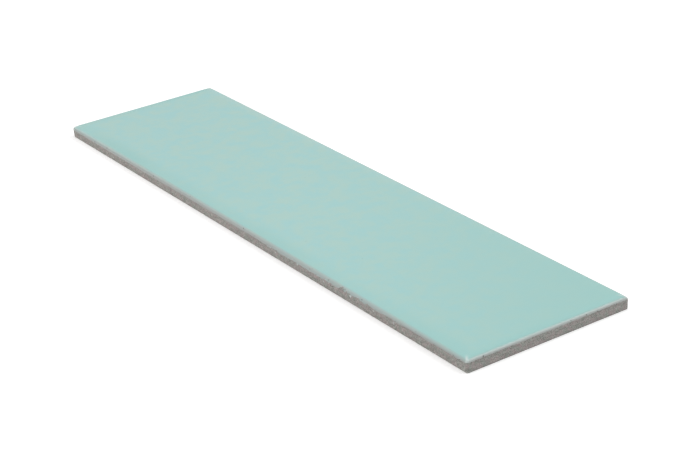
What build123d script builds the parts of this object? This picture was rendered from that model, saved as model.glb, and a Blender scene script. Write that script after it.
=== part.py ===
from build123d import *
import math
import os

# A long glazed wall tile, lying on its back.
# X runs along the tile, Y across it and Z up through the glaze. The origin is the
# middle of the back, level with the tops of the ribs that the tile rests on.
# All sizes are in millimetres.

# The whole tile, with its glaze
tile_length = 400.0
tile_width = 100.0
tile_thickness = 7.1

# The rim of the face rolls over by a quarter round. The corners are tighter in plan than the
# roll is in section, so that each ends in a small blunt ball.
roll_radius = 2.2
corner_radius = 1.4

# The glaze is full on the face and thin over the rim, and runs a little way down the sides
# below the roll, where it ends in a bead. The clay's own roll under it is tighter.
glaze_thickness = 0.5
skirt_thickness = 0.2
skirt_drop = 0.3
skirt_bead_radius = 0.12
roll_tightening = 0.6

# The sides of the clay draw in towards the back, as they left the die, and end in a small round
side_draft = 0.15
foot_radius = 0.4

# The keyed back: shallow pockets for the bed of mortar, between ribs that all end in one plane.
# The pitches are what the pattern aims at, and it stretches them to fill the back.
pocket_depth = 0.7
pocket_wall_angle = 25.0
pocket_corner_cut = 1.2
pitch_along_aim = 24.0
pitch_across_aim = 12.0
rib_width = 3.0
plain_border = 5.0

# The body stands in from the tile's outline by the thickness of the glaze on its sides
body_length = tile_length - 2 * skirt_thickness
body_width = tile_width - 2 * skirt_thickness
body_height = tile_thickness - glaze_thickness
body_corner_radius = corner_radius - skirt_thickness
skirt_foot = tile_thickness - roll_radius - skirt_drop
draft_angle = math.degrees(math.atan(side_draft / skirt_foot))


def spread(back_size, aim):
    """The even number of pockets across one size of the back, and the pitch that fills it.

    An even number leaves a rib across the middle of the back, where the tile is measured from.
    """
    room = back_size - 2 * plain_border + rib_width
    count = 2 * max(1, round(room / 2 / aim))
    return count, room / count


pockets_along, pitch_along = spread(body_length - 2 * side_draft, pitch_along_aim)
pockets_across, pitch_across = spread(body_width - 2 * side_draft, pitch_across_aim)


# One pocket, widest at its mouth, with its corners cut across
with BuildPart() as pocket:
    with BuildSketch() as mouth:
        Rectangle(pitch_along - rib_width, pitch_across - rib_width)
        chamfer(mouth.vertices(), length=pocket_corner_cut)
    extrude(amount=pocket_depth, taper=pocket_wall_angle)


# The pressed clay body: its upper part, with the roll, and then its drafted sides and its back
with BuildPart() as body:
    with BuildSketch(Plane.XY.offset(skirt_foot)) as body_plan:
        RectangleRounded(body_length, body_width, body_corner_radius)
    extrude(amount=body_height - skirt_foot)
    fillet(body.faces().sort_by(Axis.Z)[-1].edges(), radius=roll_radius - roll_tightening)
    extrude(body_plan.sketch, amount=-skirt_foot, taper=draft_angle)
    fillet(body.faces().sort_by(Axis.Z)[0].edges(), radius=foot_radius)
    with GridLocations(pitch_along, pitch_across, pockets_along, pockets_across):
        add(pocket.part, mode=Mode.SUBTRACT)

body.part.label = "body"


# The glaze: the tile's whole upper outline, less the body that it is fired onto
with BuildPart() as glaze:
    with BuildSketch(Plane.XY.offset(skirt_foot)):
        RectangleRounded(tile_length, tile_width, corner_radius)
    extrude(amount=tile_thickness - skirt_foot)
    fillet(glaze.faces().sort_by(Axis.Z)[-1].edges(), radius=roll_radius)
    fillet(glaze.faces().sort_by(Axis.Z)[0].edges(), radius=skirt_bead_radius)
    add(body.part, mode=Mode.SUBTRACT)

glaze.part.label = "glaze"


os.makedirs("parts", exist_ok=True)
export_step(body.part, "parts/body.step")
export_step(glaze.part, "parts/glaze.step")
print("pockets", pockets_along, "by", pockets_across)
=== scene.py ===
"""Looks of a long glazed wall tile: a pressed clay body with a keyed back, under a plain aqua glaze.

Everything is in metres, in the tile's own frame: X along the tile, Y across it, Z up out of
the face, with the origin in the middle of the back.
"""

import logging
import math
from dataclasses import dataclass, field, fields
from enum import Enum
from functools import partial, reduce

import bpy
import numpy as np
from mathutils import Matrix, Vector, noise

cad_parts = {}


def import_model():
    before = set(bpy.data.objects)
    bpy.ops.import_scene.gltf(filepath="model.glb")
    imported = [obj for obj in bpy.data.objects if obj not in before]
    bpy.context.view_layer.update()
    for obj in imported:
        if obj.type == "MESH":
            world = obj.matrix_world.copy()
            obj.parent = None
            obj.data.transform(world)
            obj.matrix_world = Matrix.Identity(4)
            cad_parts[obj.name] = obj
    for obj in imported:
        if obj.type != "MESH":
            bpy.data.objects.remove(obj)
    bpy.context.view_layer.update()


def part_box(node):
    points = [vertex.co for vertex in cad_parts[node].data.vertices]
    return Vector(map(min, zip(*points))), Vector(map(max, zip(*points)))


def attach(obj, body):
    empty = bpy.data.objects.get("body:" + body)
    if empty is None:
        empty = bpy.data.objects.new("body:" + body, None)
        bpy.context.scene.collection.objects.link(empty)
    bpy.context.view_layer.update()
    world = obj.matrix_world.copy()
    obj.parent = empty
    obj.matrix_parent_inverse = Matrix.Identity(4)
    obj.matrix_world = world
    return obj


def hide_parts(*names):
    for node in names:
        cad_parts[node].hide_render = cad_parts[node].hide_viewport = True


LOG = logging.getLogger("wall_tile")

MM = 0.001
TINY = 1e-12

# How fast a rough field's finer layers fade, and how much finer each is than the last.
LAYER_FADE = 0.6
LAYER_GAP = 2.1

GLAZE_IOR = 1.5

Array = np.ndarray
Material = bpy.types.Material
Piece = bpy.types.Object
Socket = bpy.types.NodeSocket
Colour = tuple[float, float, float]
# Where a soft ramp starts and ends, and what it gives there where that isn't 0 and 1.
Ramp = tuple[float, ...]
# A noise's size and detail, and then the ramp that says which part of it shows.
Patches = tuple[float, ...]
# A rough field's grain and seed, and its octaves where those aren't 3.
Unevenness = tuple[float, ...]
# A line of points, as pairs of sizes in millimetres.
Profile = tuple[tuple[float, float], ...]


class Slot(Enum):
    """The record's material slots."""

    CLAY = "clay"
    GLAZE = "glaze"


def smooth_step(low: float, high: float | Array, value: Array) -> Array:
    """A soft ramp from 0 at low to 1 at high.

    Args:
        low: Where the ramp starts.
        high: Where it ends; it may be less than low.
        value: The numbers to ramp.

    Returns:
        An array of numbers from 0 to 1.
    """
    t = np.clip((value - low) / (high - low), 0.0, 1.0)
    return t * t * (3.0 - 2.0 * t)


def rough_field(points: Array, grain: float, seed: float, octaves: int = 3) -> Array:
    """Smooth random numbers that depend only on where a point is.

    Args:
        points: Points in metres, one to a row.
        grain: The size of the largest blotch, in metres.
        seed: Moves the pattern, so that two fields differ.
        octaves: How many finer layers are added.

    Returns:
        One number for each point, roughly from -1 to 1.
    """
    shift = Vector((seed, -seed, 0.5 * seed))
    layers = (LAYER_FADE, LAYER_GAP, octaves)
    places = (Vector(point) / grain + shift for point in points)
    return np.array([noise.fractal(place, *layers, noise_basis="PERLIN_ORIGINAL") for place in places])


@dataclass(frozen=True)
class RolledSlab:
    """The outline of a slab whose face rolls over into its sides and round its corners.

    squareness is 2 for corners that are round in plan, and more for tighter ones.
    """

    length: float
    width: float
    top: float
    roll: float
    squareness: float

    def _past(self, points: Array) -> Array:
        """How far each point lies past the flat core, in X and in Y."""
        core = np.array([self.length / 2 - self.roll, self.width / 2 - self.roll])
        return np.sign(points[:, :2]) * np.maximum(np.abs(points[:, :2]) - core, 0.0)

    def wrap(self, box: Array) -> tuple[Array, Array]:
        """Rolls points on the slab's bounding box over onto its rounded outline.

        Args:
            box: Points on the box's top, sides or floor, one to a row.

        Returns:
            The rounded points, and the outward direction at each.
        """
        past, power = self._past(box), self.squareness
        rise = np.maximum(box[:, 2] - (self.top - self.roll), 0.0)
        level = np.sum(np.abs(past) ** power, axis=1) ** (1.0 / power)
        reach = np.maximum(np.sqrt(level**2 + rise**2), TINY)
        scale = np.maximum(np.abs(past).max(axis=1), rise) / reach
        rounded = box - np.column_stack((past, rise)) * (1.0 - scale)[:, None]
        lean = np.maximum(level, TINY) ** (2.0 - power)
        sideways = np.sign(past) * np.abs(past) ** (power - 1.0) * lean[:, None]
        outward = np.column_stack((sideways, rise))
        outward /= np.maximum(np.linalg.norm(outward, axis=1), TINY)[:, None]
        return rounded, outward

    def draw_in(self, points: Array, inset: Array) -> Array:
        """Moves points towards the slab's core in plan, by inset at the outline and less inside it."""
        shift = self._past(points) * (inset / self.roll)[:, None]
        return points - np.column_stack((shift, np.zeros(len(points))))

    def edge_lines(self, size: float, steps: int) -> Array:
        """Grid lines over the upper half of the roll, from the flat's end out to the side."""
        turns = np.radians(np.linspace(0.0, 45.0, steps + 1))
        return size / 2 - self.roll + self.roll * np.tan(turns)


class Lattice:
    """A cap of quads over a box, numbered so that its patches share corners.

    It covers the top and the four sides. It may also cover a border round the floor, and then
    the middle of the floor is left open.
    """

    def __init__(self, x: Array, y: Array, z: Array, floor_border: int = 0) -> None:
        """Numbers the points of the cap.

        Args:
            x: Grid lines in X, from one side to the other.
            y: Grid lines in Y.
            z: Grid lines in Z, of which the last is the top.
            floor_border: How many cells wide the border round the floor is.
        """
        self.lines = (x, y, z)
        self.keys: dict[tuple[int, int, int], int] = {}
        self.quads: list[tuple[int, int, int, int]] = []
        last_x, last_y, last_z = len(x) - 1, len(y) - 1, len(z) - 1
        for i in range(last_x):
            for j in range(last_y):
                self._quad((i, j, last_z), (i + 1, j, last_z), (i + 1, j + 1, last_z), (i, j + 1, last_z))
                if min(i, j, last_x - 1 - i, last_y - 1 - j) < floor_border:
                    self._quad((i, j + 1, 0), (i + 1, j + 1, 0), (i + 1, j, 0), (i, j, 0))
        for k in range(last_z):
            for j in range(last_y):
                self._upright((last_x, j), (last_x, j + 1), k)
                self._upright((0, j + 1), (0, j), k)
            for i in range(last_x):
                self._upright((i, 0), (i + 1, 0), k)
                self._upright((i + 1, last_y), (i, last_y), k)

    def _quad(self, *corners: tuple[int, int, int]) -> None:
        """Adds one quad, numbering any corner that is new."""
        self.quads.append(tuple(self.keys.setdefault(c, len(self.keys)) for c in corners))

    def _upright(self, start: tuple[int, int], end: tuple[int, int], k: int) -> None:
        """Adds one quad of a side, from start to end and one level up."""
        self._quad((*start, k), (*end, k), (*end, k + 1), (*start, k + 1))

    def points(self) -> Array:
        """The place of every number."""
        keys = np.array(list(self.keys))
        return np.column_stack([line[keys[:, axis]] for axis, line in enumerate(self.lines)])

    def lower_rim(self) -> list[int]:
        """Walks round the cap's open edge.

        Returns:
            The numbers of its points, anticlockwise seen from above.
        """
        last_x, last_y = len(self.lines[0]) - 1, len(self.lines[1]) - 1
        ring = [(i, 0) for i in range(last_x)] + [(last_x, j) for j in range(last_y)]
        ring += [(i, last_y) for i in range(last_x, 0, -1)] + [(0, j) for j in range(last_y, 0, -1)]
        return [self.keys[(i, j, 0)] for i, j in ring]


def placed(name: str, data: bpy.types.ID) -> Piece:
    """Makes an object in the scene, at the origin.

    Args:
        name: The object's name.
        data: Its mesh, camera or lamp.

    Returns:
        The new object.
    """
    made = bpy.data.objects.new(name, data)
    bpy.context.scene.collection.objects.link(made)
    return made


def mesh_object(name: str, points: Array, faces: list[tuple[int, ...]]) -> Piece:
    """Makes a smooth-shaded object at the origin from points and faces.

    Args:
        name: The piece's name.
        points: Points in metres, one to a row.
        faces: Point numbers of each face, anticlockwise seen from outside.

    Returns:
        The new object.
    """
    mesh = bpy.data.meshes.new(name)
    mesh.from_pydata([tuple(p) for p in points], [], faces)
    mesh.validate()
    mesh.polygons.foreach_set("use_smooth", [True] * len(mesh.polygons))
    mesh.update()
    return placed(name, mesh)


def store(piece: Piece, name: str, values: Array) -> None:
    """Keeps one number for each point of a piece, for its material to read."""
    layer = piece.data.attributes.new(name, "FLOAT", "POINT")
    layer.data.foreach_set("value", values.astype(np.float32))


class Wiring:
    """A node tree, with short calls that add nodes to it and feed their inputs."""

    def __init__(self, tree: bpy.types.NodeTree) -> None:
        """Takes the tree to add to."""
        self.tree = tree

    def _feed(self, socket: Socket, source: object) -> None:
        """Links an input to other nodes' outputs, or sets it to a plain value.

        Args:
            socket: The input.
            source: An output, a list of outputs, or a value. A colour needs no alpha.
        """
        for each in source if isinstance(source, list) else [source]:
            if isinstance(each, Socket):
                self.tree.links.new(each, socket)
            else:
                socket.default_value = (*each, 1.0) if socket.type == "RGBA" else each

    def node(
        self, kind: str, settings: dict[str, object] | None = None, *first: object, **named: object
    ) -> bpy.types.Node:
        """Adds a node.

        Args:
            kind: Its type.
            settings: Its own settings, by name.
            first: What feeds its first inputs, in order.
            named: What feeds other inputs, by their names with _ for a space.

        Returns:
            The node.
        """
        made = self.tree.nodes.new(kind)
        for name, value in (settings or {}).items():
            setattr(made, name, value)
        for socket, source in zip(made.inputs, first):
            self._feed(socket, source)
        for name, source in named.items():
            self._feed(next(s for s in made.inputs if s.name == name.replace("_", " ") and s.enabled), source)
        return made

    def math(self, kind: str, first: object, second: object = 0.0) -> Socket:
        """One step of arithmetic, such as ADD or LESS_THAN."""
        return self.node("ShaderNodeMath", {"operation": kind}, first, second).outputs["Value"]

    def times(self, *factors: object) -> Socket:
        """The product of some numbers."""
        return reduce(partial(self.math, "MULTIPLY"), factors)

    def plus(self, *terms: object) -> Socket:
        """The sum of some numbers."""
        return reduce(partial(self.math, "ADD"), terms)


class Finish(Wiring):
    """A material's node tree, with short calls for the nodes that this tile's finishes use."""

    def __init__(self, name: str) -> None:
        """Starts an empty material.

        Args:
            name: The material's name.
        """
        self.material = bpy.data.materials.new(name)
        self.material.use_nodes = True
        super().__init__(self.material.node_tree)
        self.tree.nodes.clear()
        self.place = self.node("ShaderNodeTexCoord").outputs["Object"]

    def grain(self, size: float, detail: float = 3.0, rough: float = 0.55, place: object = None) -> Socket:
        """Noise whose largest blotches are about size metres across."""
        look = {"Scale": 1.0 / size, "Detail": detail, "Roughness": rough}
        return self.node("ShaderNodeTexNoise", Vector=place or self.place, **look).outputs["Fac"]

    def stretched(self, scale: tuple[float, float, float]) -> Socket:
        """The place with each axis scaled, so that grain on it is drawn out along the smaller ones."""
        return self.node("ShaderNodeMapping", Vector=self.place, Scale=scale).outputs["Vector"]

    def flecks(self, size: float) -> Socket:
        """The distance from the nearest of many scattered dots, in cells of size metres."""
        return self.node("ShaderNodeTexVoronoi", Vector=self.place, Scale=1.0 / size).outputs["Distance"]

    def ramp(self, value: object, low: float, high: float, start: float = 0.0, end: float = 1.0) -> Socket:
        """Maps value from the range low to high onto start to end, smoothly and held at both ends."""
        soft = {"interpolation_type": "SMOOTHSTEP"}
        return self.node("ShaderNodeMapRange", soft, value, low, high, start, end).outputs["Result"]

    def patches(self, size: float, detail: float, *ramp: float) -> Socket:
        """Soft blotches of noise, of which only a part shows."""
        return self.ramp(self.grain(size, detail), *ramp)

    def mix(self, share: object, first: object, second: object) -> Socket:
        """Mixes two colours or two normals."""
        return self.node("ShaderNodeMix", {"data_type": "RGBA"}, share, A=first, B=second).outputs[2]

    def coated(self, colour: object, *coats: tuple[object, object]) -> Socket:
        """Lays coats over a colour, one after another, each given as its share and its own colour."""
        return reduce(lambda under, coat: self.mix(coat[0], under, coat[1]), coats, colour)

    def stored(self, name: str) -> Socket:
        """A number that the piece's mesh keeps for each point."""
        return self.node("ShaderNodeAttribute", {"attribute_name": name}).outputs["Fac"]

    def relief(self, height: object, depth: float, under: object = None) -> Socket:
        """A bump of that depth in metres, over another one if given."""
        over = {} if under is None else {"Normal": under}
        return self.node("ShaderNodeBump", Height=height, Distance=depth, **over).outputs["Normal"]

    def shown(self, surface: Socket) -> Material:
        """Ends the tree with that surface and gives the material."""
        self.node("ShaderNodeOutputMaterial", Surface=surface)
        return self.material

    def shaded(self, **sockets: object) -> Material:
        """Ends the tree with one Principled shader, given its inputs by name, and gives the material."""
        return self.shown(self.node("ShaderNodeBsdfPrincipled", **sockets).outputs["BSDF"])


class Recipe(Wiring):
    """A Geometry Nodes tree that is grown on a piece and then made part of its mesh."""

    def __init__(self, name: str) -> None:
        """Starts a tree that takes in a piece's geometry and gives geometry back.

        Args:
            name: The tree's name.
        """
        super().__init__(bpy.data.node_groups.new(name, "GeometryNodeTree"))
        for way in ("INPUT", "OUTPUT"):
            self.tree.interface.new_socket("Geometry", in_out=way, socket_type="NodeSocketGeometry")
        self.source = self.node("NodeGroupInput")
        self.values: dict[str, object] = {}
        self.piece = self.source.outputs["Geometry"]

    def size(self, name: str, kind: str, value: object) -> Socket:
        """Adds a named input of the tree.

        Args:
            name: The input's name.
            kind: Float, Int, Object or Material.
            value: What this piece sets it to.

        Returns:
            The socket that gives the value inside the tree.
        """
        socket = self.tree.interface.new_socket(name, in_out="INPUT", socket_type="NodeSocket" + kind)
        self.values[socket.identifier] = value
        return self.source.outputs[name]

    def finish(self, geometry: Socket, material: Socket) -> None:
        """Ends the tree: everything real, smooth and of one material.

        Args:
            geometry: What the tree has made.
            material: The input that gives its material.
        """
        real = self.node("GeometryNodeRealizeInstances", Geometry=geometry)
        smooth = self.node("GeometryNodeSetShadeSmooth", Geometry=real.outputs[0])
        dressed = self.node("GeometryNodeSetMaterial", Geometry=smooth.outputs[0], Material=material)
        self.node("NodeGroupOutput", None, dressed.outputs[0])

    def grow(self, piece: Piece) -> Piece:
        """Runs the tree on a piece and keeps the result as the piece's plain mesh, in one material.

        Args:
            piece: The piece to grow it on.

        Returns:
            The same piece.
        """
        modifier = piece.modifiers.new(self.tree.name, "NODES")
        modifier.node_group = self.tree
        for identifier, value in self.values.items():
            modifier[identifier] = value
        layers = bpy.context.evaluated_depsgraph_get()
        mesh = bpy.data.meshes.new_from_object(
            piece.evaluated_get(layers), preserve_all_data_layers=True, depsgraph=layers
        )
        piece.modifiers.remove(modifier)
        material = next(value for value in self.values.values() if isinstance(value, Material))
        mesh.materials.clear()
        mesh.materials.append(material)
        mesh.polygons.foreach_set("material_index", [0] * len(mesh.polygons))
        piece.data = mesh
        return piece


@dataclass(frozen=True)
class ClayFinish:
    """Fired, unglazed pressed clay: matt, warm grey, with pink and green grains."""

    body: Colour = (0.336, 0.323, 0.310)
    pink: Colour = (0.394, 0.328, 0.320)
    green: Colour = (0.278, 0.315, 0.276)
    dark: Colour = (0.110, 0.106, 0.097)
    pale: Colour = (0.630, 0.622, 0.592)
    pinkness: Patches = (2.6 * MM, 2.0, 0.40, 0.60)
    evenness: Patches = (1.0 * MM, 3.0, 0.35, 0.65, 0.10, 0.70)
    layer: float = 1.0 * MM
    layering: tuple[float, float, float] = (0.20, 0.20, 1.0)
    pale_layers: Ramp = (0.50, 0.70, 0.0, 0.16)
    dark_layers: Ramp = (0.50, 0.30, 0.0, 0.22)
    crystal: float = 0.52 * MM
    pale_crystals: Ramp = (0.54, 0.68, 0.0, 0.64)
    dark_crystals: Ramp = (0.46, 0.32, 0.0, 0.74)
    back_contrast: float = 0.40
    pore_cell: float = 1.0 * MM
    pores: Ramp = (0.10, 0.24, 1.0, 0.0)
    pore_patches: Patches = (4.0 * MM, 3.0, 0.48, 0.58)
    pore_darkness: float = 0.7
    pore_depth: float = 0.06 * MM
    grit: float = 0.32 * MM
    grit_depth: float = 0.11 * MM
    rubbed_height: Ramp = (0.22 * MM, 0.02 * MM)
    rubbed_patches: Patches = (9.0 * MM, 3.0, 0.40, 0.66)
    rubbed_paleness: float = 0.45
    roughness: float = 0.9

    def dress(self, made: Finish) -> tuple[Socket, Socket]:
        """Builds the clay's look inside a finish.

        The mesh stores open_face, from 0 on the back, which the die smoothed and where the grains
        show less, to 1 on the sides.

        Args:
            made: The finish to build it in.

        Returns:
            Its colour, and its fine relief as a normal.
        """
        layers = made.grain(self.layer, 2.0, 0.5, made.stretched(self.layering))
        crystals = made.grain(self.crystal, 1.5, 0.6)
        open_face = made.ramp(made.stored("open_face"), 0.0, 1.0, self.back_contrast, 1.0)
        pores = made.ramp(made.flecks(self.pore_cell), *self.pores)
        pores = made.times(pores, made.patches(*self.pore_patches))
        colour = made.coated(
            made.mix(made.patches(*self.pinkness), self.green, self.pink),
            (made.patches(*self.evenness), self.body),
            (made.ramp(layers, *self.pale_layers), self.pale),
            (made.ramp(layers, *self.dark_layers), self.dark),
            (made.times(made.ramp(crystals, *self.pale_crystals), open_face), self.pale),
            (made.times(made.ramp(crystals, *self.dark_crystals), open_face), self.dark),
            (made.times(pores, self.pore_darkness), self.dark),
        )
        rough = made.relief(made.grain(self.grit, 4.0), self.grit_depth)
        return colour, made.relief(pores, -self.pore_depth, rough)

    def material(self) -> Material:
        """Builds the material, with a little pale dust where the ribs of the back have rubbed.

        Returns:
            The clay's material.
        """
        made = Finish("fired_clay")
        colour, normal = self.dress(made)
        height = made.node("ShaderNodeSeparateXYZ", None, made.place).outputs["Z"]
        rubbed = made.times(made.ramp(height, *self.rubbed_height), made.patches(*self.rubbed_patches))
        rubbed = made.times(rubbed, self.rubbed_paleness)
        colour = made.mix(rubbed, colour, self.pale)
        return made.shaded(Base_Color=colour, Roughness=self.roughness, Normal=normal)


@dataclass(frozen=True)
class GlazeFinish:
    """Plain glossy aqua glaze, paler where it thins over the rim, with painted shade inside the rims.

    The mesh stores cover, how thick the glaze is, pool, how much painted shade darkens the band
    inside the rim, far_end, how near it is to the corner painted darker as shade, bared,
    where painted highlights and glints lie, also where the glaze has drawn back on the corners and shows
    the white under it, runs, where it has run down the side, and over_border, the height in metres above
    the line where it ends. Below that line the clay shows, with a painted shadow just under it.
    """

    cool: Colour = (0.376, 0.647, 0.638)
    warm: Colour = (0.427, 0.647, 0.596)
    # Painted shade: the glaze's darker colour towards one corner, where less light falls.
    far_end: Colour = (0.346, 0.598, 0.565)
    # Painted shade: the darker colour of the band inside the rims.
    deep: Colour = (0.345, 0.612, 0.585)
    # Pale colour of the painted highlights and glints, and of the glaze's real pale lip and thin corners.
    bare: Colour = (0.660, 0.745, 0.730)
    film: Colour = (0.350, 0.363, 0.352)
    speck: Colour = (0.250, 0.420, 0.400)
    clay: ClayFinish = field(default_factory=ClayFinish)
    drift: float = 9.0 * MM
    warmth: Ramp = (0.30, 0.70)
    speck_cell: float = 10.0 * MM
    specks: Ramp = (0.030, 0.055, 0.35, 0.0)
    speck_patches: Patches = (30.0 * MM, 1.0, 0.52, 0.60)
    downward: tuple[float, float, float] = (1.0, 1.0, 0.25)
    tooth: float = 0.9 * MM
    tooth_height: float = 1.2 * MM
    run: float = 3.0 * MM
    run_height: float = 6.0 * MM
    feather: float = 0.20 * MM
    lip: Ramp = (0.45 * MM, 0.09 * MM)
    lip_patches: Patches = (4.0 * MM, 1.0, 0.46, 0.58, 0.0, 0.45)
    pit_cell: float = 3.0 * MM
    pit_edge: Patches = (0.5 * MM, 2.0, 0.30, 0.70, -0.07, 0.07)
    pits: Ramp = (0.09, 0.18, 0.85, 0.0)
    pitted_cover: Ramp = (0.50, 0.25)
    # Painted shadow on the clay just under the glaze's border, and its patches.
    soaked: float = 0.8 * MM
    soaked_patches: Patches = (20.0 * MM, 2.0, 0.40, 0.62, 0.05, 0.40)
    gloss: Ramp = (0.05, 0.50, 0.34, 0.09)
    clay_roughness: float = 0.6
    peel: float = 6.0 * MM
    peel_depth: float = 0.012 * MM
    ripple: float = 0.8 * MM
    ripple_depth: float = 0.003 * MM

    def material(self) -> Material:
        """Builds the material.

        Returns:
            The glaze's material, which is the clay's own below the border.
        """
        made = Finish("aqua_glaze")
        cover, runs = made.stored("cover"), made.stored("runs")
        downward = made.stretched(self.downward)
        teeth = made.math("SUBTRACT", made.grain(self.tooth, 3.0, 0.6, downward), 0.5)
        drips = made.math("SUBTRACT", made.grain(self.run, 2.0, 0.6, downward), 0.5)
        drips = made.times(drips, made.times(runs, self.run_height))
        edge = made.plus(made.stored("over_border"), drips, made.times(teeth, self.tooth_height))
        specks = made.ramp(made.flecks(self.speck_cell), *self.specks)
        pits = made.plus(made.flecks(self.pit_cell), made.patches(*self.pit_edge))
        tint = made.ramp(made.grain(self.drift, 3.0, 0.6), *self.warmth)
        colour = made.coated(
            made.mix(tint, self.cool, self.warm),
            # Painted shade towards one corner, then painted shade in a band inside the rims.
            (made.stored("far_end"), self.far_end),
            (made.stored("pool"), self.deep),
            (made.times(specks, made.patches(*self.speck_patches)), self.speck),
        )
        colour = made.coated(
            made.mix(made.ramp(cover, 0.0, 1.0), self.film, colour),
            # Painted highlights and glints, in the pale colour.
            (made.stored("bared"), self.bare),
            (made.times(runs, made.ramp(edge, *self.lip), made.patches(*self.lip_patches)), self.bare),
            (made.times(made.ramp(pits, *self.pits), made.ramp(cover, *self.pitted_cover)), self.clay.dark),
        )
        clay_colour, clay_normal = self.clay.dress(made)
        # Painted shadow on the clay just under the glaze's border.
        shadow_under_border = made.ramp(edge, -self.soaked, -self.feather)
        shadow_under_border = made.times(shadow_under_border, made.patches(*self.soaked_patches))
        clay_colour = made.mix(shadow_under_border, clay_colour, self.clay.dark)
        glazed = made.ramp(edge, -self.feather, self.feather)
        dry = made.ramp(glazed, 0.0, 1.0, self.clay_roughness, 0.0)
        peel = made.relief(made.grain(self.peel, 2.0), self.peel_depth)
        smooth = made.relief(made.grain(self.ripple, 2.0), self.ripple_depth, peel)
        return made.shaded(
            Base_Color=made.mix(glazed, clay_colour, colour),
            Roughness=made.plus(made.ramp(cover, *self.gloss), dry),
            Normal=made.mix(glazed, clay_normal, smooth),
            IOR=GLAZE_IOR,
        )


@dataclass(frozen=True)
class SpotFinish:
    """The small spots of glaze on the clay, thin enough in places for the clay to tint them."""

    thick: Colour = (0.400, 0.520, 0.495)
    thin: Colour = (0.365, 0.385, 0.360)
    patches: Patches = (1.5 * MM, 2.0, 0.38, 0.62)
    gloss: Ramp = (0.0, 1.0, 0.15, 0.40)

    def material(self) -> Material:
        """Builds the material.

        Returns:
            The spots' material.
        """
        made = Finish("glaze_spot")
        thin = made.patches(*self.patches)
        colour = made.mix(thin, self.thick, self.thin)
        return made.shaded(Base_Color=colour, Roughness=made.ramp(thin, *self.gloss), IOR=GLAZE_IOR)


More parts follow.
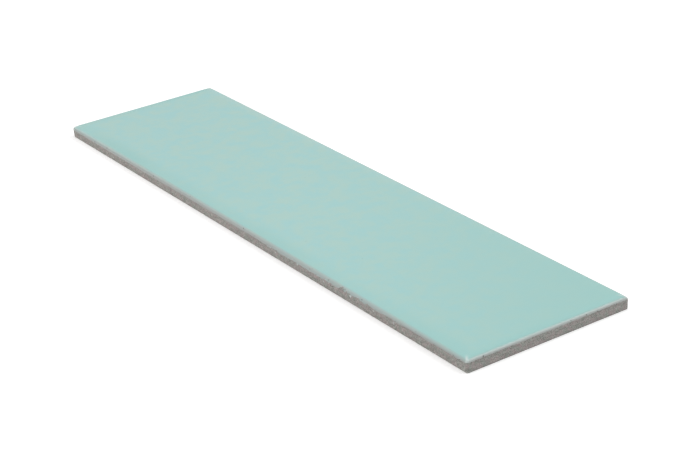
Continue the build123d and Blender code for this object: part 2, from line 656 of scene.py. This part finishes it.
@dataclass
class PressedBody:
    """The clay body: drafted sides, a rolled top, and a keyed back of shallow pockets.

    mouth_round goes from a rib's top down to a pocket's wall: how far out from the mouth's edge,
    and how deep. floor_round goes from the wall to the floor: how far in from the wall's foot, and
    how far above the floor. The pockets and their steps are counted along and across.
    """

    roll: float = 1.6 * MM
    squareness: float = 3.0
    side_draft: float = 0.15 * MM
    draft_top: float = 4.6 * MM
    foot_radius: float = 0.4 * MM
    foot_steps: int = 4
    wear: float = 0.06 * MM
    wear_height: Ramp = (1.2 * MM, 0.3 * MM)
    fine_wear: Unevenness = (2.2 * MM, 5.3)
    broad_wear: Unevenness = (11.0 * MM, 1.9)
    broad_share: float = 0.5
    smoothed_foot: float = 0.2
    pockets: tuple[int, int] = (16, 8)
    pocket_depth: float = 0.7 * MM
    pocket_wall_angle: float = 25.0
    pocket_corner_cut: float = 1.2 * MM
    corner_point: float = 0.33
    mouth_round: Profile = ((0.28, 0.0), (0.10, 0.02), (0.0, 0.07), (-0.06, 0.16))
    floor_round: Profile = ((0.06, 0.05), (0.24, 0.0))
    rib_width: float = 3.0 * MM
    plain_border: float = 5.0 * MM
    pocket_steps: tuple[int, int] = (8, 4)
    roll_steps: int = 3
    side_steps: int = 5
    weld: float = 0.02 * MM
    finish: ClayFinish = field(default_factory=ClayFinish)

    def build(self) -> Piece:
        """Makes the body over the frame's own.

        Returns:
            The finished piece.
        """
        low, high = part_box("body")
        size = high - low
        slab = RolledSlab(size.x, size.y, high.z, self.roll, self.squareness)
        keyed = np.array([size.x, size.y]) - 2 * (self.side_draft + self.plain_border) + self.rib_width
        cells = np.multiply(self.pockets, self.pocket_steps)
        x, y = (self._lines(slab, *each) for each in zip(size, keyed, cells))
        lattice = Lattice(x, y, self._levels(slab), self.roll_steps + 1)
        box = lattice.points()
        points, _ = slab.wrap(box)
        points = slab.draw_in(points, self._inset(box))
        piece = mesh_object("pressed_body", points, lattice.quads)
        foot = self.foot_radius
        store(piece, "open_face", smooth_step(self.smoothed_foot * foot, foot, box[:, 2]))
        pitch = keyed / self.pockets
        pocket = self._pocket(pitch)
        self._back(pocket, pitch).grow(piece)
        bpy.data.objects.remove(pocket)
        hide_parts("body")
        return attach(piece, "root")

    def _lines(self, slab: RolledSlab, size: float, keyed: float, cells: int) -> Array:
        """Grid lines that meet the pockets' cells on the back and are close together on the roll."""
        edge = slab.edge_lines(size, self.roll_steps)
        return np.concatenate((-edge[::-1], np.linspace(-keyed / 2, keyed / 2, cells + 1), edge))

    def _levels(self, slab: RolledSlab) -> Array:
        """Lays grid lines up the sides.

        Args:
            slab: The body's outline.

        Returns:
            Heights round the foot, up the draft and over the roll.
        """
        foot = self.foot_radius * (1.0 - np.cos(np.radians(np.linspace(0.0, 90.0, self.foot_steps + 1))))
        side = np.linspace(self.foot_radius, slab.top - self.roll, self.side_steps + 1)[1:]
        rolled = slab.edge_lines(2 * slab.top, self.roll_steps)[1:]
        return np.concatenate((foot, side, rolled))

    def _inset(self, box: Array) -> Array:
        """Works out how far the side stands in from the body's outline.

        Args:
            box: The body's points before they were rolled over.

        Returns:
            The draft, the foot's round and its wear together, at each point.
        """
        z = box[:, 2]
        inset = self.side_draft * np.clip(1.0 - z / self.draft_top, 0.0, 1.0)
        short = np.clip(self.foot_radius - z, 0.0, None)
        inset += self.foot_radius - np.sqrt(self.foot_radius**2 - short**2)
        low = z < self.wear_height[0]
        worn = rough_field(box[low], *self.fine_wear)
        worn += self.broad_share * rough_field(box[low], *self.broad_wear)
        inset[low] += self.wear * np.clip(worn, 0.0, 1.0) * smooth_step(*self.wear_height, z[low])
        return inset

    def _ring(self, half: Array, cut: Array, near: float) -> Array:
        """Lays points round a rectangle.

        Args:
            half: Half its length and half its width.
            cut: How far from its corners the points on its sides start, along and across.
            near: How far inside it the corners' own points are.

        Returns:
            The points, anticlockwise from the lowest corner.
        """
        sides = zip(half, cut, self.pocket_steps)
        x, y = (np.r_[near - far, np.linspace(gap - far, far - gap, steps - 1)] for far, gap, steps in sides)
        front = np.column_stack((x, np.r_[near - half[1], np.full(len(x) - 1, -half[1])]))
        right = np.column_stack((np.r_[half[0] - near, np.full(len(y) - 1, half[0])], y))
        return np.vstack((front, right, -front, -right))

    def _pocket(self, pitch: Array) -> Piece:
        """Makes one cell of the keyed back: the rib tops round one pocket, its soft edges and its floor.

        Args:
            pitch: The cell's size along and across.

        Returns:
            The cell, centred on the origin and facing down.
        """
        slope = math.tan(math.radians(self.pocket_wall_angle))
        mouth_round, floor_round = np.array(self.mouth_round) * MM, np.array(self.floor_round) * MM
        deep, wall_foot = self.pocket_depth, self.pocket_depth - mouth_round[-1][1]
        steps = [*mouth_round, (-wall_foot * slope, wall_foot)]
        steps += [(-deep * slope - inward, deep - above) for inward, above in floor_round]
        mouth, cut = (pitch - self.rib_width) / 2, np.full(2, self.pocket_corner_cut)
        rings = [self._ring(pitch / 2, pitch / self.pocket_steps, 0.0)]
        rings += [self._ring(mouth + out, cut, self.corner_point * cut[0]) for out, _ in steps]
        depths = [0.0] + [depth for _, depth in steps]
        points = [np.column_stack((ring, np.full(len(ring), z))) for ring, z in zip(rings, depths)]
        here = np.arange(len(rings[0]))
        there, inner = np.roll(here, -1), len(here)
        band = np.column_stack((there, here, inner + here, inner + there))
        faces = np.vstack([band + ring * inner for ring in range(len(rings) - 1)])
        floor, floor_faces = self._pocket_floor(rings[-1], (len(rings) - 1) * inner)
        faces = np.vstack((faces, floor_faces)).tolist()
        return mesh_object("one_pocket", np.vstack((*points, floor)), faces)

    def _pocket_floor(self, ring: Array, first: int) -> tuple[Array, Array]:
        """Fills a pocket's floor with quads.

        Args:
            ring: The points round the floor.
            first: The number of the ring's first point.

        Returns:
            The points inside the ring, and the floor's faces.
        """
        m, n = self.pocket_steps
        count = len(ring)
        number = np.zeros((m + 1, n + 1), int)
        number[:m, 0], number[m, :n] = range(m), range(m, m + n)
        number[:0:-1, n], number[0, :0:-1] = range(m + n, 2 * m + n), range(2 * m + n, count)
        number[1:m, 1:n] = count + np.arange((m - 1) * (n - 1)).reshape(m - 1, n - 1)
        number += first
        points = [(ring[i][0], ring[m + j][1], self.pocket_depth) for i in range(1, m) for j in range(1, n)]
        corners = (number[:-1, 1:], number[1:, 1:], number[1:, :-1], number[:-1, :-1])
        return np.array(points), np.stack(corners, axis=-1).reshape(-1, 4)

    def _back(self, pocket: Piece, pitch: Array) -> Recipe:
        """Builds the tree that lays the pockets out over the back and welds them into the body.

        Args:
            pocket: One cell of the back.
            pitch: The cells' spacing along and across.

        Returns:
            The finished tree.
        """
        made = Recipe("keyed_back")
        cell = made.size("Pocket", "Object", pocket)
        weld = made.size("Weld distance", "Float", self.weld)
        clay = made.size("Clay", "Material", self.finish.material())
        grid = {}
        for axis, way, count, step in zip("XY", ("along", "across"), self.pockets, pitch):
            pockets = made.size("Pockets " + way, "Int", count)
            spacing = made.size("Pitch " + way, "Float", float(step))
            grid["Size_" + axis] = made.times(spacing, made.math("SUBTRACT", pockets, 1.0))
            grid["Vertices_" + axis] = pockets
        middles = made.node("GeometryNodeMeshGrid", **grid)
        shape = made.node("GeometryNodeObjectInfo", Object=cell)
        laid = made.node(
            "GeometryNodeInstanceOnPoints", Points=middles.outputs["Mesh"], Instance=shape.outputs["Geometry"]
        )
        real = made.node("GeometryNodeRealizeInstances", Geometry=laid.outputs["Instances"])
        whole = made.node("GeometryNodeJoinGeometry", Geometry=[made.piece, real.outputs[0]])
        welded = made.node("GeometryNodeMergeByDistance", Geometry=whole.outputs[0], Distance=weld)
        made.finish(welded.outputs[0], clay)
        return made


@dataclass
class Scatter:
    """Small lumps strewn over a band of the tile's sides, most of each sunk in.

    They may keep to one stretch of each long side, whose middle is that far along. upright is how
    far a side may lean, as the Z of its outward direction.
    """

    name: str
    per_square_metre: float
    smallest: float
    largest: float
    lowest: float
    highest: float
    flatness: float
    seed: int
    stretch_middle: float = 0.0
    stretch_reach: float = 1.0
    lump_sides: int = 8
    lump_rings: int = 4
    upright: float = 0.3

    def recipe(self, material: Material, with_host: bool) -> Recipe:
        """Builds the tree that strews them, with each size above as an input of its own.

        Args:
            material: What the lumps are made of.
            with_host: Whether the piece that they lie on stays in the result.

        Returns:
            The finished tree.
        """
        made = Recipe(self.name)
        size = {
            each.name: made.size(
                each.name.replace("_", " ").capitalize(),
                each.type.__name__.capitalize(),
                getattr(self, each.name),
            )
            for each in fields(self)[1:]
        }
        stuff = made.size("Stuff", "Material", material)
        at = made.node("GeometryNodeInputPosition").outputs[0]
        x, y, z = made.node("ShaderNodeSeparateXYZ", None, at).outputs
        facing = made.node("GeometryNodeInputNormal").outputs[0]
        lean = made.math("ABSOLUTE", made.node("ShaderNodeSeparateXYZ", None, facing).outputs["Z"])
        along = made.plus(made.times(x, made.math("SIGN", y)), size["stretch_middle"])
        strewn = made.node(
            "GeometryNodeDistributePointsOnFaces",
            Mesh=made.piece,
            Selection=made.times(
                made.math("GREATER_THAN", z, size["lowest"]),
                made.math("LESS_THAN", z, size["highest"]),
                made.math("LESS_THAN", made.math("ABSOLUTE", along), size["stretch_reach"]),
                made.math("LESS_THAN", lean, size["upright"]),
            ),
            Density=size["per_square_metre"],
            Seed=size["seed"],
        )
        lump = made.node(
            "GeometryNodeMeshUVSphere", Radius=1.0, Segments=size["lump_sides"], Rings=size["lump_rings"]
        )
        radius = made.node(
            "FunctionNodeRandomValue", Min=size["smallest"], Max=size["largest"], Seed=size["seed"]
        ).outputs["Value"]
        flat = made.times(radius, size["flatness"])
        laid = made.node(
            "GeometryNodeInstanceOnPoints",
            Points=strewn.outputs["Points"],
            Instance=lump.outputs["Mesh"],
            Rotation=strewn.outputs["Rotation"],
            Scale=made.node("ShaderNodeCombineXYZ", None, radius, radius, flat).outputs[0],
        )
        parts = [made.piece] if with_host else []
        whole = made.node("GeometryNodeJoinGeometry", Geometry=[*parts, laid.outputs["Instances"]])
        made.finish(whole.outputs[0], stuff)
        return made


class FacePlaces:
    """Where a set of points lies on the tile's face, measured from its edges."""

    corner_blend = 3.0 * MM

    def __init__(self, points: Array, size: Vector, outward: Array | None = None) -> None:
        """Measures the points.

        Args:
            points: Points in metres, one to a row.
            size: The glaze's overall size.
            outward: The outward direction at each point, where its turn over the rim is asked for.
        """
        self.flat = points * (1.0, 1.0, 0.0)
        self.x, self.y = points[:, 0], points[:, 1]
        self.length, self.half_length = size.x, size.x / 2
        self.from_end = size.x / 2 - np.abs(self.x)
        self.from_side = size.y / 2 - np.abs(self.y)
        self.inward = np.minimum(self.from_end, self.from_side)
        # From 0 on a long side to 1 on a short one.
        self.short = smooth_step(-self.corner_blend, self.corner_blend, self.from_side - self.from_end)
        if outward is not None:
            self.turned = np.degrees(np.arccos(np.clip(outward[:, 2], -1.0, 1.0)))


@dataclass
class GlazedSkin:
    """The glaze: one thin shell over the face and the rim, which feathers out on the sides.

    The turns are in degrees from the face, down over the rim. Each ramp says where something
    starts and where it is full.
    """

    roll: float = 2.2 * MM
    under_roll: float = 1.6 * MM
    side_thickness: float = 0.2 * MM
    face_thickness: float = 0.5 * MM
    foot: float = 4.62 * MM
    tuck: float = 0.03 * MM
    squareness: float = 3.6
    spacing: float = 1.6 * MM
    rim_spacing: float = 0.5 * MM
    roll_steps: int = 7
    rim_fall: float = 0.06 * MM
    rim_width: float = 6.0 * MM
    corner_fall: float = 0.22 * MM
    corner_width: float = 9.0 * MM
    feather_rise: float = 0.55 * MM
    feather_low: float = 0.4
    least_skin: float = 0.06
    border_long: float = 5.05 * MM
    border_slant: float = 0.45 * MM
    border_short: float = 5.65 * MM
    border_wander: float = 0.22 * MM
    broad_wander: Unevenness = (60.0 * MM, 3.7)
    fine_wander: Unevenness = (9.0 * MM, 8.1)
    fine_share: float = 0.6
    calm_ends: float = 0.6
    run_middle: float = 85.0 * MM
    run_reach: Ramp = (80.0 * MM, 32.0 * MM)
    run_drop: float = 0.20 * MM
    run_cover: float = 0.22
    run_turn: Ramp = (40.0, 65.0)
    thin_turn_long: float = 39.0
    thin_spread: float = 0.55
    thin_slant: float = 0.15
    thin_power: Ramp = (1.1, 0.25)
    thin_turn_short: Ramp = (80.0, -10.0)
    thin_rim: float = 0.08
    thin_rim_reach: Ramp = (4.0 * MM, 1.8 * MM)
    # Painted glint on each corner's ball, where the glaze also draws thin; strongest on one corner.
    corner_bare: float = 0.55
    other_corners_bare: float = 0.25
    corner_reach: Ramp = (0.0, 0.55)
    corner_turn: Ramp = (78.0, 50.0)
    # Painted glint along the ridge inside each corner, slanted the way a reflection runs.
    ridge_bare: float = 0.85
    ridge_width: float = 1.1 * MM
    ridge_reach: Ramp = (7.5 * MM, 2.0 * MM)
    ridge_slant: float = 1.3
    ridge_turn: Ramp = (70.0, 20.0)
    # Painted highlight on the ends' rims.
    end_bare: float = 0.19
    end_turn: Ramp = (32.0, 56.0)
    # Painted sheen near the edge of the far long side.
    far_side_bare: float = 0.10
    far_side_reach: Ramp = (7.5 * MM, 3.0 * MM)
    # Painted shade: the glaze darker towards one corner.
    far_end_reach: Ramp = (-0.10, 0.84)
    far_end_slant: float = 1.5
    # Painted shade: a darker band inside the rims, where the glaze turns down and reflects less light.
    pool_long: float = 14.0 * MM
    pool_short: float = 8.0 * MM
    pool_start: Ramp = (0.9 * MM, 2.4 * MM)
    pool_strength: float = 0.75
    pool_wander: float = 0.5
    pool_field: Unevenness = (90.0 * MM, 6.4, 2)
    finish: GlazeFinish = field(default_factory=GlazeFinish)

    def build(self) -> Piece:
        """Makes the skin over the frame's glaze.

        Returns:
            The finished piece.
        """
        low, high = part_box("glaze")
        size = high - low
        outer = RolledSlab(size.x, size.y, high.z, self.roll, self.squareness)
        lattice = Lattice(self._lines(outer, size.x), self._lines(outer, size.y), self._levels(outer))
        box = lattice.points()
        outside, outward = outer.wrap(box)
        at = FacePlaces(box, size, outward)
        above = outside[:, 2] - self._border(FacePlaces(outside, size))
        skin = smooth_step(-self.feather_low * self.feather_rise, self.feather_rise, above)
        clay = self._under(box, size, high.z, 0.0)
        outside = clay + (outside - clay) * (self.least_skin + (1.0 - self.least_skin) * skin)[:, None]
        outside[:, 2] -= self._fall(FacePlaces(outside, size)) * skin
        inside = self._under(box, size, high.z, self.tuck)
        count = len(outside)
        rim = lattice.lower_rim()
        faces = list(lattice.quads)
        faces += [tuple(count + n for n in reversed(quad)) for quad in lattice.quads]
        for here, there in zip(rim, rim[1:] + rim[:1]):
            faces.append((there, here, count + here, count + there))
        piece = mesh_object("glazed_skin", np.vstack((outside, inside)), faces)
        for name, values in (
            ("cover", self._cover(at)),
            ("pool", self._pool(FacePlaces(outside, size))),
            ("far_end", self._far_end(at)),
            ("bared", self._bared(at)),
            ("runs", self._runs(at)),
            ("over_border", above),
            ("open_face", np.ones(count)),
        ):
            store(piece, name, np.concatenate((values, values)))
        piece.data.materials.append(self.finish.material())
        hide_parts("glaze")
        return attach(piece, "root")

    def _lines(self, outer: RolledSlab, size: float) -> Array:
        """Lays grid lines over one size of the face.

        Args:
            outer: The glaze's outline.
            size: Its length or its width.

        Returns:
            The lines, closer near the rim and closest on the roll.
        """
        edge = outer.edge_lines(size, self.roll_steps)
        inner = edge[0] - self.rim_width
        edge = np.concatenate((np.arange(inner, edge[0] - 0.1 * MM, self.rim_spacing), edge))
        count = max(2, round(2 * inner / self.spacing))
        return np.concatenate((-edge[:0:-1], np.linspace(-inner, inner, count + 1), edge[1:]))

    def _levels(self, outer: RolledSlab) -> Array:
        """Grid lines up the sides, from the glaze's foot over the roll."""
        rolled = outer.edge_lines(2 * outer.top, self.roll_steps)
        return np.concatenate(([self.foot, (self.foot + rolled[0]) / 2], rolled))

    def _under(self, box: Array, size: Vector, top: float, tuck: float) -> Array:
        """Moves the cap's points in onto the clay under the glaze.

        Args:
            box: The cap's points before they are rolled over.
            size: The glaze's overall size.
            top: The height of the face.
            tuck: How far into the clay the points go.

        Returns:
            The moved points.
        """
        inset = 2 * (self.side_thickness + tuck)
        under_top = top - self.face_thickness - tuck
        under = RolledSlab(size.x - inset, size.y - inset, under_top, self.under_roll, self.squareness)
        shrunk = box * (under.length / size.x, under.width / size.y, 1.0)
        height = float(np.max(box[:, 2])) - self.foot
        shrunk[:, 2] = self.foot + (under.top - self.foot) * (box[:, 2] - self.foot) / height
        return under.wrap(shrunk)[0]

    def _fall(self, at: FacePlaces) -> Array:
        """Works out how far the fired glaze has drawn down along the rim, and more at the corners.

        Args:
            at: The places of the rolled points.

        Returns:
            The drop at each.
        """
        rim = np.clip(1.0 - at.inward / self.rim_width, 0.0, 1.0)
        corner = np.clip(1.0 - (at.from_end + at.from_side) / self.corner_width, 0.0, 1.0)
        return self.rim_fall * rim**2 + self.corner_fall * corner**2

    def _runs(self, at: FacePlaces) -> Array:
        """Where the glaze has run further down, over one stretch of each long side, from 0 to 1."""
        along = np.abs(at.x + np.sign(at.y) * self.run_middle)
        return smooth_step(*self.run_reach, along) * (1.0 - at.short)

    def _border(self, at: FacePlaces) -> Array:
        """Draws the line at which the glaze ends on the sides.

        Args:
            at: The places of the rolled points.

        Returns:
            Its height below each of them.
        """
        level = self.border_long + self.border_slant * at.x / at.half_length
        level += (self.border_short - level) * at.short - self.run_drop * self._runs(at)
        rim = at.inward < self.roll
        wander = np.zeros(len(level))
        wander[rim] = rough_field(at.flat[rim], *self.broad_wander)
        wander[rim] += self.fine_share * rough_field(at.flat[rim], *self.fine_wander)
        return level + self.border_wander * wander * (1.0 - self.calm_ends * at.short)

    def _cover(self, at: FacePlaces) -> Array:
        """Works out how thickly the glaze covers the clay, which falls off as the rim turns over.

        Args:
            at: The places of the points, with their turn.

        Returns:
            Numbers from 0, unglazed, to 1, full.
        """
        along = np.abs(at.x) / at.half_length
        lean = self.thin_spread - self.thin_slant * np.sign(at.x) * along
        reach = at.turned / (self.thin_turn_long * (1.0 + lean * along**2))
        power, more_power = self.thin_power
        long_side = np.exp(-(reach ** (power + more_power * along**2)))
        run = self.run_cover * self._runs(at) * smooth_step(*self.run_turn, at.turned)
        long_side += run * (1.0 - long_side)
        short_side = smooth_step(*self.thin_turn_short, at.turned)
        whole = 1.0 - self.thin_rim * smooth_step(*self.thin_rim_reach, at.inward)
        return whole * (long_side + (short_side - long_side) * at.short)

    def _bared(self, at: FacePlaces) -> Array:
        """Works out where painted highlights and glints lie, laid on in a pale colour.

        That is a painted highlight on the ends' rims, a painted glint on each corner's ball, where the
        glaze also draws thin and shows the white under it, and on the ridge inside it. The glint is
        strongest on one corner, at the end of the tile that points along X, and the long side opposite
        to that corner gets a little painted sheen.

        Args:
            at: The places of the points, with their turn.

        Returns:
            Numbers from 0 to 1.
        """
        both = np.clip(1.0 - np.maximum(at.from_end, at.from_side) / self.roll, 0.0, None)
        # Painted glint on each corner's ball, over glaze drawn thin, strongest on one corner.
        glint_corner = (at.x > 0.0) & (at.y < 0.0)
        ball = np.where(glint_corner, self.corner_bare, self.other_corners_bare)
        ball *= smooth_step(*self.corner_reach, both) * smooth_step(*self.corner_turn, at.turned)
        # Painted glint along the ridge inside each corner.
        off_ridge = (at.from_end - self.ridge_slant * at.from_side) / self.ridge_width
        ridge = np.exp(-(off_ridge**2)) * smooth_step(*self.ridge_reach, np.hypot(at.from_end, at.from_side))
        ridge *= self.ridge_bare * smooth_step(*self.ridge_turn, at.turned)
        # Painted highlight on the ends' rims.
        end = self.end_bare * smooth_step(*self.end_turn, at.turned) * at.short
        # Painted sheen near the far long side's edge.
        side = self.far_side_bare * smooth_step(*self.far_side_reach, at.from_side) * (at.y > 0.0)
        side *= 1.0 - self._far_end(at)
        return np.maximum.reduce((ball, ridge, end, side))

    def _far_end(self, at: FacePlaces) -> Array:
        """How near each point is to the corner of the tile that is painted darker as shade, from 0 to 1."""
        return smooth_step(*self.far_end_reach, (at.x + self.far_end_slant * at.y) / at.length)

    def _pool(self, at: FacePlaces) -> Array:
        """Works out how much painted shade darkens a band inside the rim. One long side has no such band.

        Args:
            at: The places of the finished points.

        Returns:
            Numbers from 0 to 1.
        """
        width = self.pool_long + (self.pool_short - self.pool_long) * at.short
        near = at.inward < self.pool_long
        uneven = np.zeros(len(width))
        uneven[near] = rough_field(at.flat[near], *self.pool_field)
        darkened = smooth_step(*self.pool_start, at.inward)
        darkened *= 1.0 - smooth_step(self.pool_start[1], width, at.inward)
        darkened *= np.where(at.y > 0.0, at.short, 1.0)
        return np.clip(darkened * (self.pool_strength + self.pool_wander * uneven), 0.0, 1.0)


@dataclass(frozen=True)
class PhotoCamera:
    """The photographer's camera, worked out from the tile's outline in the picture."""

    focal_px: float = 1913.39
    picture_width_px: float = 700.0
    sensor_mm: float = 36.0
    azimuth_deg: float = 57.1317
    elevation_deg: float = 24.7846
    roll_deg: float = -3.9350
    distance: float = 1.06226
    slide_right: float = 0.01778
    slide_up: float = -0.01198

    def build(self) -> None:
        """Places the camera and makes it the scene's own."""
        data = bpy.data.cameras.new("photo_camera")
        data.sensor_width = self.sensor_mm
        data.lens = self.focal_px / self.picture_width_px * self.sensor_mm
        place = Matrix.Translation((self.slide_right, self.slide_up, self.distance))
        turns = ((self.roll_deg, "Z"), (90.0 - self.elevation_deg, "X"), (self.azimuth_deg, "Z"))
        for degrees, axis in turns:
            place = Matrix.Rotation(math.radians(degrees), 4, axis) @ place
        bpy.context.scene.camera = placed("photo_camera", data)
        bpy.context.scene.camera.matrix_world = place


@dataclass(frozen=True)
class Softbox:
    """One soft lamp that points at the tile.

    glow is how bright its face is, so its power follows from its size.
    """

    name: str
    toward: tuple[float, float, float]
    distance: float
    side: float
    glow: float
    tint: Colour = (1.0, 1.0, 1.0)

    def build(self) -> None:
        """Hangs the lamp."""
        data = bpy.data.lights.new(self.name, "AREA")
        data.shape = "SQUARE"
        data.size = self.side
        data.energy = self.glow * math.pi * self.side**2
        data.color = self.tint
        lamp = placed(self.name, data)
        way = Vector(self.toward).normalized()
        lamp.location = way * self.distance
        lamp.rotation_mode = "QUATERNION"
        lamp.rotation_quaternion = way.to_track_quat("Z", "Y")


@dataclass
class Studio:
    """A white floor, an even white surround and a few softboxes."""

    floor_half: float = 3.0
    floor_colour: Colour = (0.80, 0.80, 0.80)
    floor_lift: float = 0.36
    far_lift: float = 0.80
    lift_from: float = 0.45
    lift_to: float = 1.50
    surround: float = 0.45
    lamps: tuple[Softbox, ...] = (
        Softbox("left_softbox", (-0.76, -0.42, 0.49), 1.6, 1.0, 0.95),
        Softbox("back_softbox", (0.42, 0.52, 0.74), 1.8, 1.2, 3.1),
        Softbox("front_softbox", (-0.30, -0.85, 0.42), 1.8, 1.1, 2.25, (1.0, 0.945, 0.915)),
        Softbox("top_softbox", (-0.05, -0.05, 1.0), 1.6, 0.8, 1.9),
    )

    def build(self) -> None:
        """Lays the floor, lights the room and sets how colours are shown."""
        corners = np.array([(-1, -1, 0), (1, -1, 0), (1, 1, 0), (-1, 1, 0)]) * self.floor_half
        floor = mesh_object("studio_floor", corners, [(0, 1, 2, 3)])
        floor.data.materials.append(self._floor_material())
        for lamp in self.lamps:
            lamp.build()
        world = bpy.data.worlds.new("surround")
        world.use_nodes = True
        made = Wiring(world.node_tree)
        seen = made.node("ShaderNodeLightPath").outputs["Is Camera Ray"]
        strength = made.node("ShaderNodeMapRange", None, seen, 0.0, 1.0, self.surround, 1.0)
        shade = world.node_tree.nodes["Background"]
        shade.inputs["Color"].default_value = (1.0, 1.0, 1.0, 1.0)
        world.node_tree.links.new(strength.outputs["Result"], shade.inputs["Strength"])
        bpy.context.scene.world = world
        bpy.context.scene.view_settings.view_transform = "Standard"

    def _floor_material(self) -> Material:
        """White paper that the camera sees a little brighter than it lights the tile, more so far off.

        Returns:
            The paper's material.
        """
        made = Finish("white_paper")
        paper = made.node("ShaderNodeBsdfDiffuse", Color=self.floor_colour)
        rays = made.node("ShaderNodeLightPath").outputs
        seen = made.math("MAXIMUM", rays["Is Camera Ray"], rays["Is Glossy Ray"])
        away = made.node("ShaderNodeVectorMath", {"operation": "LENGTH"}, made.place).outputs["Value"]
        spread = (self.lift_from, self.lift_to, self.floor_lift, self.far_lift)
        lift = made.node("ShaderNodeMapRange", None, away, *spread).outputs["Result"]
        glow = made.node("ShaderNodeEmission", Strength=made.times(seen, lift))
        both = made.node("ShaderNodeAddShader", None, paper.outputs[0], glow.outputs[0])
        return made.shown(both.outputs[0])


GRIT = Scatter("side_grit", 2.2e5, 0.05 * MM, 0.16 * MM, 0.5 * MM, 4.4 * MM, 0.35, 11)
SPATTER = Scatter("glaze_spatter", 6.0e4, 0.06 * MM, 0.20 * MM, 3.6 * MM, 4.6 * MM, 0.30, 23)
DRIPS = Scatter(
    "glaze_drips", 8.0e4, 0.35 * MM, 0.85 * MM, 4.0 * MM, 5.1 * MM, 0.20, 5, 85.0 * MM, 62.0 * MM, 14, 6
)
DRIP_FINISH = SpotFinish(thick=(0.580, 0.640, 0.630), thin=(0.430, 0.450, 0.440))


def strew(body: Piece) -> list[Piece]:
    """Strews grit on the clay's sides, and spots and drips of glaze below the glaze's border.

    Args:
        body: The clay body, which keeps the grit.

    Returns:
        The spots and the drips, as pieces of their own.
    """
    strewn = []
    for name, scatter, finish in (
        ("glaze_spots", SPATTER, SpotFinish()),
        ("glaze_drips", DRIPS, DRIP_FINISH),
    ):
        piece = placed(name, body.data.copy())
        scatter.recipe(finish.material(), False).grow(piece)
        strewn.append(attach(piece, "root"))
    GRIT.recipe(body.data.materials[0], True).grow(body)
    return strewn


def report(piece: Piece) -> None:
    """Logs a piece's name and how many faces it has."""
    LOG.info("%s: %d faces", piece.name, len(piece.data.polygons))


def main() -> None:
    """Builds the tile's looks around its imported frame, in order, and reports each piece."""
    logging.basicConfig(level=logging.INFO, format="%(name)s: %(message)s")
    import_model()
    PhotoCamera().build()
    Studio().build()
    body = PressedBody().build()
    for piece in (*strew(body), body):
        report(piece)
    report(GlazedSkin().build())


if __name__ == "__main__":
    main()
